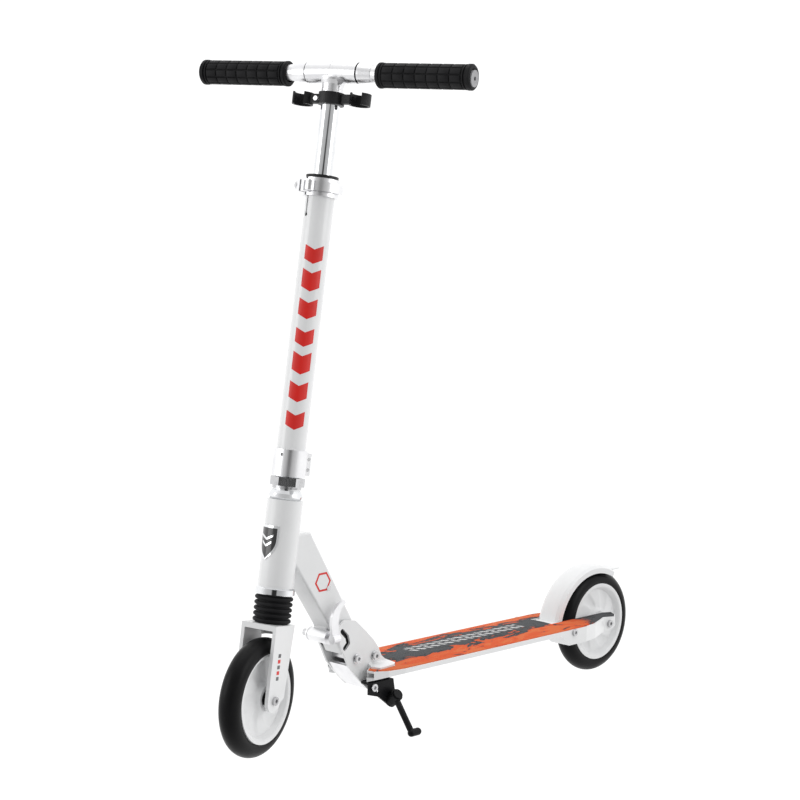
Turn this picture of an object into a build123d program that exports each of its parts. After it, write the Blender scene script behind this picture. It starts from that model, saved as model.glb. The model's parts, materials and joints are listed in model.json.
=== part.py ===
from build123d import *
from math import atan2, cos, degrees, hypot, radians, sin
import os

# Kick scooter, millimetres. +X forward, +Y to the rider's left, +Z up.
# "Body frame": upright scooter, origin on the floor midway between the axles.
# "Front frame": local Z runs up the steering axis, local X ahead, origin level with the front axle.

# ---------------------------------------------------------------- driving dimensions
wheelbase = 800.0
rake_angle = 8.1           # steering axis leans back by this much
steer_angle = 16.6         # bars turned to the left as the scooter is parked
lean_angle = 3.0           # the scooter leans on its stand

run_gap = 0.06             # radial gap of shafts and slides in their bores
fit_gap = 0.02             # gap of pieces pressed or screwed together
body_gap = 0.35            # air between pieces that move past each other
screw_gap = 0.12           # radial gap of the collar screws in their holes

# wheels
wheel_r = 90.0
tyre_r = 17.0              # radius of the tyre's round section
tyre_seat_r = 68.0         # where the tyre sits on the rim
rim_half = 16.4
web_half = 4.0
hub_r = 19.0
hub_half = 17.0
bearing_r = 14.0
bearing_w = 8.0
axle_r = 6.0

# fork and suspension
axle_offset = 16.0
leg_inner = 24.5
leg_thick = 5.5
leg_front = 34.0
leg_back = 19.0
leg_foot_r = 19.0
crown_top = 111.0
crown_thick = 8.0
crown_boss_half = 12.0
crown_boss_drop = 18.0
stem_r = 12.5
stem_wall = 2.5
stem_top = 196.0
travel = 12.0

# steerer, headset and column
steerer_r = 16.0
steerer_top = 366.0
plug_low = 252.0
plug_high = 258.0
head_low = 165.0
head_high = 296.0
head_r = 27.0
head_bore_r = 17.5
cup_low = 153.0
cup_r = 30.0
race_r = 23.0
upper_cup_high = 310.0
upper_cup_r = 24.8
lock_nut_low = 316.5
lock_nut_high = 329.5
lock_nut_flat = 45.0
collar_low = 331.0
collar_high = 371.0
collar_r = 25.4
collar_screw_x = collar_r + 3
column_r = 22.0
column_wall = 2.0
column_top = 765.0
bush_low = 735.0
bush_flange = 5.0
clamp_low = 750.0
clamp_high = 777.0
clamp_r = 27.0
slot_angle = -25.0         # the column's slot and the clamp's ears, from straight ahead
slot_low = 722.0
slot_width = 3.0

# riser, tee and bars
inner_r = 14.5
inner_wall = 1.8
inner_low = 560.0
bar_height = 939.0
droop_angle = 1.4
tee_r = 16.5
tee_half = 43.0
stub_low = 907.5
bar_r = 12.5
bar_wall = 2.0
bar_start = 6.0
grip_start = 78.0
grip_end = 232.0
grip_r = 19.2
clip_low = 889.0
clip_high = 907.0
clip_reach = 49.5
clip_hook_r = 12.8
clip_hook_wall = 3.4
button_r = 4.5
button_side = 20.0
button_press = 3.5
cord_r = 2.0

# deck
deck_half = 65.0
deck_edge_top = 102.0
deck_camber = 5.5
deck_edge_low = 95.0
deck_belly_half = 38.0
deck_belly_low = 86.0
deck_nose_x = 190.0
tape_thick = 1.0
slot_half = 24.0
slot_front_x = -258.0
arm_half = 41.0
arm_low = 76.0
arm_end_x = -424.0

# fold bracket and neck
cheek_inner = 22.2
cheek_thick = 4.0
base_thick = 3.5
flange_half = 50.0
pivot_x, pivot_z = 176.0, 121.5
stop_x, stop_z = 215.0, 123.0
hinge_pin_r = 5.0
stop_sleeve_r = 7.0
knuckle_r = 10.0
neck_half = 20.5
neck_wall = 3.0
barrel_x, barrel_z = 269.0, 163.0
barrel_r = 10.5
barrel_half = 21.8
skewer_r = 3.0
fold_range = 82.0

# stand
stand_hub_r = 10.0
stand_pin_r = 4.0
stand_leg_r = 5.0
stand_hub_x, stand_hub_y, stand_hub_z = 160.0, 57.0, 59.0
foot_r = 6.0
foot_x, foot_y = 165.8, 100.0

# fender
fender_cx, fender_cz = -385.0, 80.0
fender_r = 113.0
fender_wall = 2.0
fender_half = 22.0
fender_pin_x, fender_pin_z = -272.0, 97.0
fender_pin_r = 4.0

# ---------------------------------------------------------------- frames
axis_foot_x = wheelbase / 2 - axle_offset * cos(radians(rake_angle))
axis_foot_z = wheel_r - axle_offset * sin(radians(rake_angle))
LEAN = Rot(-lean_angle, 0, 0)
STRAIGHT = Pos(axis_foot_x, 0, axis_foot_z) * Rot(0, -rake_angle, 0)
FRONT = STRAIGHT * Rot(0, 0, steer_angle)
NECK = STRAIGHT


# ---------------------------------------------------------------- helpers
def rod(radius, low, high):
    """Cylinder on local Z from low to high."""
    return Pos(0, 0, low) * Cylinder(radius, high - low, align=(Align.CENTER, Align.CENTER, Align.MIN))


def tube(outer, inner, low, high):
    return rod(outer, low, high) - rod(inner, low - 1, high + 1)


def rod_y(radius, low, high):
    """Cylinder on the Y axis from y = low to y = high."""
    return Rot(-90, 0, 0) * rod(radius, low, high)


def tube_y(outer, inner, low, high):
    return Rot(-90, 0, 0) * tube(outer, inner, low, high)


def slab(points, low, high):
    """Outline in X and Z, pulled along Y from low to high."""
    return extrude(Plane.XZ.offset(-low) * Polygon(*points, align=None), amount=high - low, dir=(0, 1, 0))


def lift(face, low, high):
    """Outline in X and Y, pulled up from z = low to z = high."""
    return extrude(Pos(0, 0, low) * face, amount=high - low, dir=(0, 0, 1))


def brick(x0, x1, y0, y1, z0, z1):
    return Pos((x0 + x1) / 2, (y0 + y1) / 2, (z0 + z1) / 2) * Box(x1 - x0, y1 - y0, z1 - z0)


def hex_rod(flat, low, high):
    return lift(RegularPolygon(flat / 2, 6, major_radius=False), low, high)


def lathe(points):
    """Outline of (radius, height) turned about local Z."""
    return revolve(Plane.XZ * Polygon(*points, align=None), axis=Axis.Z)


def screw_y(x, z, head_r, shank_r, inner, outer, head):
    """Screw along Y at (x, z): shank from inner to outer, head beyond it with a hex socket."""
    side = 1 if outer > inner else -1
    shank = Rot(-90, 0, 0) * rod(shank_r, min(inner, outer), max(inner, outer))
    head_low, head_high = sorted((outer, outer + side * head))
    body = shank + Rot(-90, 0, 0) * rod(head_r, head_low, head_high)
    socket_low, socket_high = sorted((outer + side * head * 0.4, outer + side * (head + 1)))
    return Pos(x, 0, z) * (body - Rot(-90, 0, 0) * hex_rod(head_r * 0.9, socket_low, socket_high))


def group(*solids):
    return Compound(children=list(solids))


# ---------------------------------------------------------------- wheels
def tyre():
    crown = wheel_r - tyre_r
    ring = Pos(crown, 0) * Circle(tyre_r)
    seat = Pos((tyre_seat_r + fit_gap) / 2, 0) * Rectangle(tyre_seat_r + fit_gap, 2 * tyre_r + 2)
    return revolve(ring - seat, axis=Axis.Y)


def rim():
    edge = tyre_seat_r
    profile = Polygon(
        (bearing_r, 0), (bearing_r, hub_half), (hub_r, hub_half), (hub_r + 3, web_half + 4),
        (edge - 14, web_half), (edge - 7, rim_half), (edge, rim_half),
        (edge, -rim_half), (edge - 7, -rim_half), (edge - 14, -web_half),
        (hub_r + 3, -web_half - 4), (hub_r, -hub_half), (bearing_r, -hub_half), align=None)
    shoulder = tube_y(bearing_r + 0.5, axle_r + 1.5, -hub_half + bearing_w, hub_half - bearing_w)
    return revolve(profile, axis=Axis.Y) + shoulder


def wheel_bearings():
    races = []
    for side in (-1, 1):
        low, high = sorted((side * (hub_half - bearing_w + fit_gap), side * hub_half))
        races.append(tube_y(bearing_r - fit_gap, axle_r + run_gap, low, high))
    return group(*races)


def axle(grip, head):
    """Axle bolt whose head and nut stand outside the two legs or arms."""
    bolt = screw_y(0, 0, head, axle_r, -grip, grip + fit_gap, 4.0)
    nut = Rot(-90, 0, 0) * hex_rod(2 * head - 1, -grip - 6.0, -grip - fit_gap)
    return bolt + nut + rod_y(axle_r, -grip - 7.5, -grip + 1)


def axle_spacers(inner_face):
    return group(*[tube_y(axle_r + 3, axle_r + fit_gap, *sorted((s * (hub_half + 0.3), s * (inner_face - fit_gap))))
                   for s in (-1, 1)])


# ---------------------------------------------------------------- fork (front frame)
def fork():
    outer = leg_inner + leg_thick
    ax = axle_offset
    side = [(-leg_back, crown_top), (leg_front, crown_top), (leg_front, 2), (ax, -leg_foot_r + 4), (-leg_back + 8, 2)]
    blank = slab(side, -outer, outer) + Pos(ax, 0, 0) * rod_y(leg_foot_r - 1, -outer, outer)
    window = brick(-leg_back - 5, leg_front + 5, -leg_inner, leg_inner, -40, crown_top - crown_thick)
    boss_low = crown_top - crown_thick - crown_boss_drop + 8
    boss = brick(-leg_back, 6, -crown_boss_half, crown_boss_half, boss_low, crown_top - 1)
    body = blank - window + boss
    legs_cut = Pos(ax, 0, 0) * rod_y(axle_r + fit_gap, -outer - 1, outer + 1)
    stem = tube(stem_r, stem_r - stem_wall, crown_top - 2, stem_top)
    return body - legs_cut - rod(stem_r - stem_wall, boss_low - 1, crown_top + 1) + stem


def bellows():
    folds = 5
    low, high = crown_top + 0.3, cup_low - body_gap
    pitch = (high - low) / folds
    deep, proud = 22.0, 28.8
    rounds = [Pos(proud - pitch * 0.36, low + pitch * (i + 0.5)) * Circle(pitch * 0.36) for i in range(folds)]
    wall = Pos((deep + proud - 4) / 2, (low + high) / 2) * Rectangle(proud - 4 - deep, high - low)
    profile = wall
    for ring in rounds:
        profile = profile + ring
    return revolve(Plane.XZ * profile, axis=Axis.Z)


def spring():
    wire = 1.4
    radius = stem_r - 2.2
    low, high = stem_top + wire + 0.3, plug_low - wire - 0.3
    path = Pos(0, 0, low) * Helix((high - low) / 5, high - low, radius)
    start = path @ 0
    return sweep(Plane(origin=start, z_dir=path % 0) * Circle(wire), path)


# ---------------------------------------------------------------- steerer and headset (front frame)
def steerer():
    bore = stem_r + run_gap
    body = tube(steerer_r, bore, crown_top + travel + 2, steerer_top)
    return body + tube(bore + 0.5, 4.0, plug_low, plug_high)


def headset_bearings():
    lows = (cup_low + 3.1, head_high + 3.1)
    return group(*[tube(race_r - fit_gap, steerer_r + run_gap, low, low + 8) for low in lows])


def headset_cups():
    """Lower and upper cup, pressed on the ends of the head tube."""
    lower = lathe([(race_r, cup_low + 3), (race_r, head_low), (head_r, head_low), (cup_r, head_low - 2),
                   (cup_r, cup_low + 2), (cup_r - 2, cup_low), (head_bore_r, cup_low), (head_bore_r, cup_low + 3)])
    low = head_high
    r = upper_cup_r
    points = [(head_bore_r, low), (r - 2, low), (r, low + 3), (r + 1, low + 6), (r, low + 9), (r - 3, upper_cup_high),
              (race_r - 2, upper_cup_high), (race_r - 2, upper_cup_high - 2), (race_r, upper_cup_high - 2),
              (race_r, low + 3), (head_bore_r, low + 3)]
    return group(lower, lathe(points))


def headset_nuts():
    """Cone, tabbed washer and hexagonal lock nut on the steerer's thread."""
    bore = steerer_r + fit_gap
    cone = tube(race_r - 3, bore, head_high + 11.4, upper_cup_high + 2)
    washer = tube(column_r, bore, upper_cup_high + 2 + fit_gap, lock_nut_low - fit_gap)
    tab = brick(column_r - 1, column_r + 7, -4, 4, upper_cup_high + 2.5, lock_nut_low - 1)
    nut = hex_rod(lock_nut_flat, lock_nut_low, lock_nut_high) - rod(bore, lock_nut_low - 1, lock_nut_high + 1)
    return cone, washer + Rot(0, 0, 55) * tab, nut


def collar():
    """Split collar that grips the column's foot; its two lugs stand at the back."""
    ring = tube(collar_r, column_r + fit_gap, collar_low, collar_high)
    lug = brick(column_r, collar_r + 7, -7, 7, collar_low + 3, collar_high - 3)
    lug = lug - rod(column_r + fit_gap, collar_low, collar_high)
    gap = brick(column_r - 4, collar_r + 9, -1, 1, collar_low - 1, collar_high + 1)
    hole = Pos(0, 0, collar_high - 8) * Rot(0, 90, 0) * rod(2.6, column_r - 1, collar_r + 2)
    body = Rot(0, 0, 150) * (ring + lug - gap)
    for z in collar_screw_heights():
        body = body - Rot(0, 0, 150) * Pos(collar_screw_x, 0, z) * rod_y(2.5 + screw_gap, -20, 20)
    return body - hole


def collar_screw_heights():
    return (collar_low + 12, collar_high - 12)


def collar_screws():
    place = Rot(0, 0, 150)
    made = []
    for z in collar_screw_heights():
        made.append(place * Pos(collar_screw_x, 0, z) * screw_y(0, 0, 3.4, 2.5, -7, 7 + fit_gap, 4))
    return group(*made)


def column():
    """Tube with a thick foot that fits the steerer."""
    body = tube(column_r, column_r - column_wall, collar_low, column_top)
    body = body + tube(column_r - 1, steerer_r + fit_gap, collar_low, steerer_top)
    slit = brick(0, column_r + 2, -slot_width / 2, slot_width / 2, slot_low, column_top + 1)
    key = Pos(0, 0, slot_low) * Rot(0, 90, 0) * rod(slot_width, 0, column_r + 2)
    return body - Rot(0, 0, slot_angle) * (slit + key)


def column_bush():
    sleeve = tube(column_r - column_wall - fit_gap, inner_r + run_gap, bush_low, column_top + 1)
    top = column_top + fit_gap
    flange = tube(clamp_r - 2.5, inner_r + run_gap, clamp_high + 0.2, clamp_high + bush_flange)
    return sleeve + tube(column_r, inner_r + run_gap, top, clamp_high + 0.3) + flange


ear_out = 9.0
ear_mid_r = 32.0


def height_clamp():
    band = tube(clamp_r, column_r + fit_gap, clamp_low, clamp_high)
    ears = brick(column_r, ear_mid_r + 6, -ear_out, ear_out, clamp_low + 4, clamp_high - 4)
    ears = ears - rod(column_r + fit_gap, clamp_low, clamp_high)
    gap = brick(column_r - 3, ear_mid_r + 8, -2, 2, clamp_low - 1, clamp_high + 1)
    hole = Pos(ear_mid_r, 0, (clamp_low + clamp_high) / 2) * rod_y(skewer_r + fit_gap, -20, 20)
    return Rot(0, 0, slot_angle) * (band + ears - gap - hole)


def clamp_skewer():
    mid = Pos(ear_mid_r, 0, (clamp_low + clamp_high) / 2)
    bolt = mid * (rod_y(skewer_r, -ear_out - 7, ear_out + body_gap - cam_gap) + tube_y(6.5, skewer_r - 1, -ear_out - 6, -ear_out - fit_gap))
    return Rot(0, 0, slot_angle) * bolt


cam_r = 7.0
cam_gap = 0.3


def height_lever():
    """Cam and curved handle that wraps round the clamp's left side."""
    mid = (clamp_low + clamp_high) / 2
    cam = Pos(ear_mid_r, ear_out + body_gap + cam_r, 0) * rod(cam_r, mid - 7.5, mid + 7.5)
    inner, outer = clamp_r + 3.0, clamp_r + 6.5
    start = degrees(atan2(ear_out + cam_r, ear_mid_r))
    sweep_angle = 118.0
    band = revolve(Plane.XZ * Pos((inner + outer) / 2, mid) * Rectangle(outer - inner, 14), axis=Axis.Z,
                   revolution_arc=sweep_angle)
    lip = Rot(0, 0, sweep_angle) * Pos((inner + outer) / 2 + 1, 0, 0) * rod(2.6, mid - 7, mid + 7)
    body = cam + Rot(0, 0, start) * (band + lip)
    return Rot(0, 0, slot_angle) * body


def height_lever_pivot():
    return Rot(0, 0, slot_angle) * Pos(ear_mid_r, ear_out + body_gap + cam_r, (clamp_low + clamp_high) / 2)


# ---------------------------------------------------------------- riser and bars (front frame)
def inner_tube():
    return tube(inner_r, inner_r - inner_wall, inner_low, bar_height - bar_r - 3)


def side_frame(side):
    """Frame whose local +Y runs out along one bar, which droops a little."""
    turn = 0 if side > 0 else 180
    return Pos(0, 0, bar_height) * Rot(0, 0, turn) * Rot(-droop_angle, 0, 0)


def tee():
    body = side_frame(-1) * rod_y(tee_r, 0, tee_half) + side_frame(1) * rod_y(tee_r, 0, tee_half)
    flare = lathe([(0, stub_low), (inner_r + 2, stub_low), (inner_r + 2, bar_height - tee_r - 3),
                   (inner_r + 5, bar_height - tee_r + 3), (inner_r + 5, bar_height - tee_r + 6), (0, bar_height)])
    body = body + flare - rod(inner_r + fit_gap, stub_low - 1, bar_height - bar_r - 2.9)
    body = body - Pos(0, 0, bar_height) * rod_y(bar_r + 0.6, -5, 5)
    for side in (-1, 1):
        body = body - side_frame(side) * rod_y(bar_r + run_gap, 3, tee_half + 1)
        body = body - side_frame(side) * button_hole()
    return body


def button_hole():
    return Pos(0, button_side, 0) * Rot(0, 140, 0) * rod(button_r + body_gap, 0, tee_r + 2)


def button():
    """Spring button that stands out through the tee, low at the front."""
    shaft = rod(button_r, bar_r - bar_wall - 4, tee_r + 3)
    lens = Pos(0, 0, tee_r + 3) * (Sphere(button_r) & Box(20, 20, 4))
    skirt = rod(button_r + 1.2, bar_r - bar_wall - 4.5, bar_r - bar_wall - 2.3)
    return Pos(0, button_side, 0) * Rot(0, 140, 0) * (shaft + lens + skirt)


def bar():
    """Bar with an open slot at its inner end, where the button's foot holds it."""
    body = tube_y(bar_r, bar_r - bar_wall, bar_start, grip_end - 6)
    half = button_r + body_gap
    slot = Rot(0, 140, 0) * brick(-half, half, bar_start - 1, button_side, 0, bar_r + 2)
    return body - button_hole() - slot


def ferrule():
    low, high = tee_half + 2.0, tee_half + 24
    cone = revolve(Polygon((bar_r + fit_gap, low), (tee_r - 1, low), (tee_r - 1.2, low + 3), (bar_r + 0.8, high),
                           (bar_r + fit_gap, high), align=None), axis=Axis.Y)
    return cone


def bar_ring():
    """Black washer between the tee and the ferrule."""
    return tube_y(tee_r - 1.4, bar_r + fit_gap, tee_half + body_gap, tee_half + 2.0 - fit_gap)


def grip():
    """Rubber grip with a raised collar at each end."""
    g0, g1, r = grip_start, grip_end, grip_r
    low = [(bar_r + fit_gap, g0), (r - 2, g0), (r, g0 + 2), (r, g0 + 5), (r - 1.5, g0 + 6.5), (r - 1.5, g0 + 9)]
    mid = [(r - 0.8, g0 + 10), (r - 0.8, g1 - 12), (r - 1.8, g1 - 11), (r - 1.8, g1 - 8)]
    high = [(r, g1 - 7), (r, g1 - 2.5), (r - 2.5, g1), (bar_r + fit_gap, g1)]
    return revolve(Polygon(*(low + mid + high), align=None), axis=Axis.Y)


def end_plug():
    body = rod_y(bar_r - 0.2, grip_end - 6 + fit_gap, grip_end + 2) + rod_y(bar_r - bar_wall - fit_gap, grip_end - 20, grip_end)
    socket = Rot(-90, 0, 0) * hex_rod(6, grip_end - 4, grip_end + 4)
    return body - socket - rod_y(cord_r + body_gap, grip_end - 21, grip_end - 9)


def elastic_cord():
    """Cord through both bars, with its ends in the plugs."""
    end = grip_end - 11
    body = side_frame(1) * rod_y(cord_r, 0, end) + side_frame(-1) * rod_y(cord_r, 0, end)
    return body + Pos(0, 0, bar_height) * Sphere(cord_r)


def grip_clip():
    """Plastic clip under the tee that holds the pulled-out bars; open hooks face ahead."""
    mid_h = (clip_low + clip_high) / 2
    height = clip_high - clip_low
    hub = tube(inner_r + 5.5, inner_r + fit_gap, clip_low, clip_high)
    hook_out = clip_hook_r + clip_hook_wall
    body = hub
    for side in (-1, 1):
        arm = brick(-5, 5, *sorted((side * (inner_r + 4), side * (clip_reach - clip_hook_r - 1))), clip_low + 2, clip_high - 2)
        ring = Pos(0, side * clip_reach, 0) * tube(hook_out, clip_hook_r, clip_low, clip_high)
        mouth = brick(2, hook_out + 2, side * clip_reach - 9, side * clip_reach + 9, clip_low - 1, clip_high + 1)
        body = body + arm + (ring - mouth)
    return body - Pos(0, -inner_r - 9, mid_h) * Rot(0, 90, 0) * rod(2 + fit_gap, -8, 8)


def clip_screw():
    mid_h = (clip_low + clip_high) / 2
    head = rod(3.6, 5 + fit_gap, 8) + rod(2, -5, 6)
    return Pos(0, -inner_r - 9, mid_h) * Rot(0, 90, 0) * head


# ---------------------------------------------------------------- deck (body frame)
camber_r = (deck_half ** 2 + deck_camber ** 2) / (2 * deck_camber)
camber_z = deck_edge_top + deck_camber - camber_r


def deck_plan(shrink=0.0):
    """Half outlines mirrored about X: rounded nose, straight sides, arms beside the wheel."""
    half = [(deck_nose_x, 0), (deck_nose_x, 30), (deck_nose_x + 18, 42), (deck_nose_x + 12, 52),
            (deck_nose_x - 12, 61), (deck_nose_x - 45, deck_half), (-305, deck_half), (-338, deck_half - 7),
            (-384, arm_half), (arm_end_x + 8, arm_half), (arm_end_x, arm_half - 6), (arm_end_x, slot_half)]
    points = half + [(slot_front_x, slot_half), (slot_front_x, 0)]
    face = Polygon(*points, align=None)
    face = face + mirror(face, about=Plane.XZ)
    return offset(face, -shrink) if shrink else face


def under_camber(extra=0.0):
    """All the space below the deck's curved top, raised by extra."""
    return Pos(0, 0, camber_z) * Rot(0, 90, 0) * Cylinder(camber_r + extra, 2 * wheelbase)


def under_top(extra=0.0):
    """As under_camber, with the two arm ends sloping down outwards."""
    space = under_camber(extra)
    inner, front, rear = (-416, 24, 105.5), (-305, deck_half, 102), (-416, arm_half, 99.5)
    for side in (-1, 1):
        a, b, c = (Vector(x, side * y, z) for x, y, z in (inner, front, rear))
        normal = (b - a).cross(c - a).normalized()
        normal = normal if normal.Z > 0 else normal * -1
        plane = Plane(origin=a + normal * extra, z_dir=normal)
        blade = Location(plane) * Pos(0, 0, 50) * Box(700, 700, 100)
        half = brick(-500, -250, *sorted((side * 20, side * 90)), 60, 140)
        space = space - (blade & half)
    return space


def deck():
    low = arm_low - 1
    section = Polygon((-deck_half, deck_edge_low), (-deck_belly_half, deck_belly_low), (deck_belly_half, deck_belly_low),
                      (deck_half, deck_edge_low), (deck_half, 115), (-deck_half, 115), align=None)
    profile = extrude(Plane.YZ.offset(-wheelbase / 2 - 60) * section, amount=wheelbase, dir=(1, 0, 0))
    plan = lift(deck_plan(), low, low + 60)
    arms = slab([(-236, 96), (-258, arm_low), (-345, arm_low), (-408, arm_low + 3), (arm_end_x, arm_low + 12),
                 (arm_end_x, 100), (-236, 100)], -deck_half, deck_half)
    arms = arms - brick(-500, -200, -slot_half, slot_half, 60, 120)
    body = (profile + arms) & plan & under_top()
    wall = 3.0
    for side in (-1, 1):
        for near, far, low in ((wall / 2, 18.5, deck_belly_low + wall), (18.5 + wall, deck_belly_half, deck_belly_low + wall),
                               (deck_belly_half + wall, 52, 94)):
            cell = brick(-238, deck_nose_x + 30, *sorted((side * near, side * far)), low, 110)
            body = body - (cell & under_camber(-wall))
    for side in (-1, 1):
        body = body - Pos(-wheelbase / 2, 0, wheel_r) * rod_y(axle_r + fit_gap, *sorted((side * 20, side * 70)))
        body = body - Pos(fender_pin_x, 0, fender_pin_z) * rod_y(fender_pin_r + fit_gap, *sorted((side * 20, side * 70)))
    return body


def bracket_foot_plan(grow=0.0):
    half = [(146, 0), (146, flange_half - 8), (154, flange_half - 2), (186, flange_half), (deck_nose_x + 6, 40), (deck_nose_x, 30),
            (deck_nose_x, 0)]
    face = Polygon(*half, align=None)
    face = face + mirror(face, about=Plane.XZ)
    return offset(face, grow) if grow else face


def grip_tape():
    plan = deck_plan(2.0) - bracket_foot_plan(1.0) - Pos(170, 0) * Rectangle(60, 2 * cheek_inner)
    plan = plan - Pos(deck_nose_x + 10, 0) * Rectangle(40, 62)
    return lift(plan, 90, 130) & (under_top(tape_thick) - under_top(fit_gap))


# ---------------------------------------------------------------- fold bracket and neck (body frame)
def neck_line(side, z):
    """X of the neck's front (+1) or rear (-1) face at height z."""
    front_x, front_z, rear_x, rear_z, slope = 268.0, 181.0, 214.5, 177.0, 0.613
    return (front_x + (z - front_z) * slope) if side > 0 else (rear_x + (z - rear_z) * slope)


def foot_base():
    return lift(bracket_foot_plan(), 90, 130) & (under_camber(base_thick) - under_camber(0.01))


def cheek_outline():
    return [(146, deck_edge_top + 3), (151, 112), (160, 119), (167, 133), (178, 147), (196, 164), (218, 183), (243, 187),
            (257, 176), (256, 162), (247, 143), (232, 113), (220, 99), (205, 84), (191, 71), (176, 71), (168, 85.6),
            (deck_nose_x + 0.4, 85.6), (deck_nose_x + 0.4, deck_edge_top + 3)]


def latch_slot(low, high):
    """J-shaped slot for the lock hook."""
    width = 4.0
    points = [(246, 170), (236, 160), (233, 150), (240, 143)]
    cut = None
    for (xa, za), (xb, zb) in zip(points, points[1:]):
        length = hypot(xb - xa, zb - za)
        angle = degrees(atan2(zb - za, xb - xa))
        bar_cut = Pos(xa, 0, za) * Rot(0, -angle, 0) * brick(0, length, low, high, -width, width)
        ends = Pos(xa, 0, za) * rod_y(width, low, high) + Pos(xb, 0, zb) * rod_y(width, low, high)
        cut = bar_cut + ends if cut is None else cut + bar_cut + ends
    return cut


def fold_bracket():
    """Two cheeks on a curved foot; their noses hook round the deck's front edge."""
    body = foot_base()
    seat = under_camber(0.01) & brick(100, deck_nose_x + 0.4, -deck_half, deck_half, 85.6, 115)
    for side in (-1, 1):
        low, high = sorted((side * cheek_inner, side * (cheek_inner + cheek_thick)))
        cheek = slab(cheek_outline(), low, high)
        for x, z in ((pivot_x, pivot_z), (stop_x, stop_z)):
            cheek = cheek - Pos(x, 0, z) * rod_y(hinge_pin_r + fit_gap, low - 1, high + 1)
        cheek = cheek - latch_slot(low - 1, high + 1)
        cove = slab([(150, 100), (150, 112), (deck_nose_x, 112), (deck_nose_x, 100)],
                    *sorted((side * (cheek_inner + cheek_thick - 0.5), side * (cheek_inner + cheek_thick + 6))))
        groove = Pos(0, side * (cheek_inner + cheek_thick + 6), 114.5) * Rot(0, 90, 0) * Cylinder(6, 400)
        body = body + (cheek - seat) + (cove - groove - seat)
    return body


def latch_plates():
    outline = [(246, 178), (228, 166), (224, 146), (236, 134), (246, 143), (250, 158), (250, 172)]
    made = []
    for side in (-1, 1):
        low, high = sorted((side * (neck_half + 2 * body_gap), side * (cheek_inner - fit_gap)))
        made.append(slab(outline, low, high))
    return group(*made)


def nose_plate():
    """Dark steel plate behind the bracket's nose, bent back under the deck."""
    side = cheek_inner - fit_gap
    front = slab([(229, 112), (218, 97), (204, 83), (190, 70.5), (185, 70.5), (199, 85), (213, 99), (224, 114)], -side, side)
    under = slab([(191, 71), (191, 74), (160, 85.5), (152, 85.5), (152, 82), (176, 71)], -side, side)
    return front + under


def bracket_bolt(x, z, sleeve):
    """Bolt across the two cheeks with a washer and head at each side."""
    half = cheek_inner + cheek_thick
    bolt = screw_y(x, z, 6.2, hinge_pin_r, -half - 2, half + 1.4, 4.5)
    nut = Pos(x, 0, z) * Rot(-90, 0, 0) * hex_rod(11, -half - 6, -half - 1.4)
    washer = Pos(x, 0, z) * (rod_y(8, half + fit_gap, half + 1.4) + rod_y(8, -half - 1.4, -half - fit_gap))
    body = bolt + nut + washer
    if sleeve:
        body = body + Pos(x, 0, z) * rod_y(sleeve, -cheek_inner + fit_gap, cheek_inner - fit_gap)
    return body


def neck():
    """Box section from the hinge knuckle up to the head tube, with the head tube and the barrel's saddle."""
    top = 330.0
    outline = [(neck_line(1, top) + 12, top), (neck_line(1, 181), 181), (256, 161), (239, 132), (stop_x, stop_z + 1),
               (184, pivot_z - 9), (pivot_x, pivot_z), (neck_line(-1, 140), 140), (neck_line(-1, top), top)]
    inner = [(neck_line(1, 320) - 5, 320), (neck_line(1, 181) - neck_wall - 1, 181), (250, 159), (237, 138), (222, 134),
             (200, 134), (neck_line(-1, 150) + neck_wall + 2, 150), (neck_line(-1, 320) + neck_wall + 1, 320)]
    box = slab(outline, -neck_half, neck_half)
    box = fillet([e for e in box.edges().filter_by(GeomType.LINE) if is_long_neck_edge(e)], 3.5)
    box = box - slab(inner, -neck_half + neck_wall, neck_half - neck_wall)
    box = box + Pos(pivot_x, 0, pivot_z) * rod_y(knuckle_r, -neck_half, neck_half)
    box = box - Pos(pivot_x, 0, pivot_z) * rod_y(hinge_pin_r + run_gap, -neck_half - 1, neck_half + 1)
    box = box - Pos(stop_x, 0, stop_z) * rod_y(stop_sleeve_r + body_gap, -neck_half - 1, neck_half + 1)
    saddle = slab([(250, 150), (270, 158), (275, 168), (264, 178)], -12, 12)
    box = box + saddle - Pos(barrel_x, 0, barrel_z) * rod_y(barrel_r + fit_gap, -30, 30)
    head = NECK * rod(head_r, head_low, head_high)
    bore = NECK * (rod(head_bore_r, head_low - 5, head_high + 1))
    return (box + head) - bore


def is_long_neck_edge(edge):
    """Edges of the box that run up the neck on its four corners."""
    ends = (edge @ 0, edge @ 1)
    return abs(ends[0].Y - ends[1].Y) < 0.1 and edge.length > 60


def fold_barrel():
    shell = tube_y(barrel_r, skewer_r + fit_gap, -barrel_half, barrel_half)
    grooves = tube_y(barrel_r + 1, barrel_r - 1, -barrel_half + 3, -barrel_half + 4.5)
    return Pos(barrel_x, 0, barrel_z) * (shell - grooves)


cam_centre_y = 33.8


def fold_skewer():
    nut_face = cheek_inner + cheek_thick + body_gap
    body = rod_y(skewer_r, -nut_face - 10, cam_centre_y - cam_r - cam_gap)
    nut = tube_y(5.5, skewer_r - 1, -nut_face - 7, -nut_face)
    return Pos(barrel_x, 0, barrel_z) * (body + nut)


def fold_lever():
    """Cam lever that stands up along the neck's left side, with a spoon-shaped handle."""
    front = [(4, -3), (8, 10), (9.5, 22), (8, 35), (3, 46), (-6, 54), (-17, 59)]
    back = [(-20, 54), (-12, 47), (-7, 38), (-5, 26), (-6, 14), (-8, 3)]
    handle = slab(front + back, cam_centre_y - 2.5, cam_centre_y + 2.5)
    cam = Rot(0, 90, 0) * Pos(0, cam_centre_y, 0) * rod(cam_r, -7, 7)
    return Pos(barrel_x, 0, barrel_z) * (handle + cam)


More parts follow.
